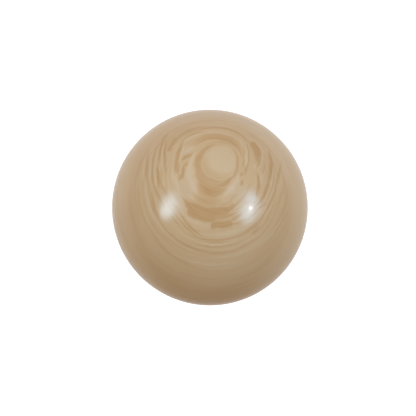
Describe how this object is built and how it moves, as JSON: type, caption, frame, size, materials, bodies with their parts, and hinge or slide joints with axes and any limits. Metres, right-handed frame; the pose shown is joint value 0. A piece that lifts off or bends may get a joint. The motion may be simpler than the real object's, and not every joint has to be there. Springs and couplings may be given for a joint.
{
  "type": "cue ball",
  "caption": "Round cue ball with a marbled resin cover over a steel-cupped resin core; rolled by a cue and told apart by a coin table's ball return.",
  "frame": {"origin": "centre of the ball", "axes": "+Z along the support pin, out through its visible round end; -Y is the side where the marbling has its broadest dark crescent"},
  "size_m": [0.0572, 0.0572, 0.0572],
  "materials": {
    "marbled_resin": "polished",
    "pin_resin": "polished",
    "cup_steel": "satin",
    "core_resin": "matte"
  },
  "bodies": {
    "root": {"marbled_cover": "marbled_resin", "support_pin": "pin_resin", "upper_mesh_cup": "cup_steel", "lower_mesh_cup": "cup_steel", "core_ball": "core_resin"}
  },
  "joints": []
}
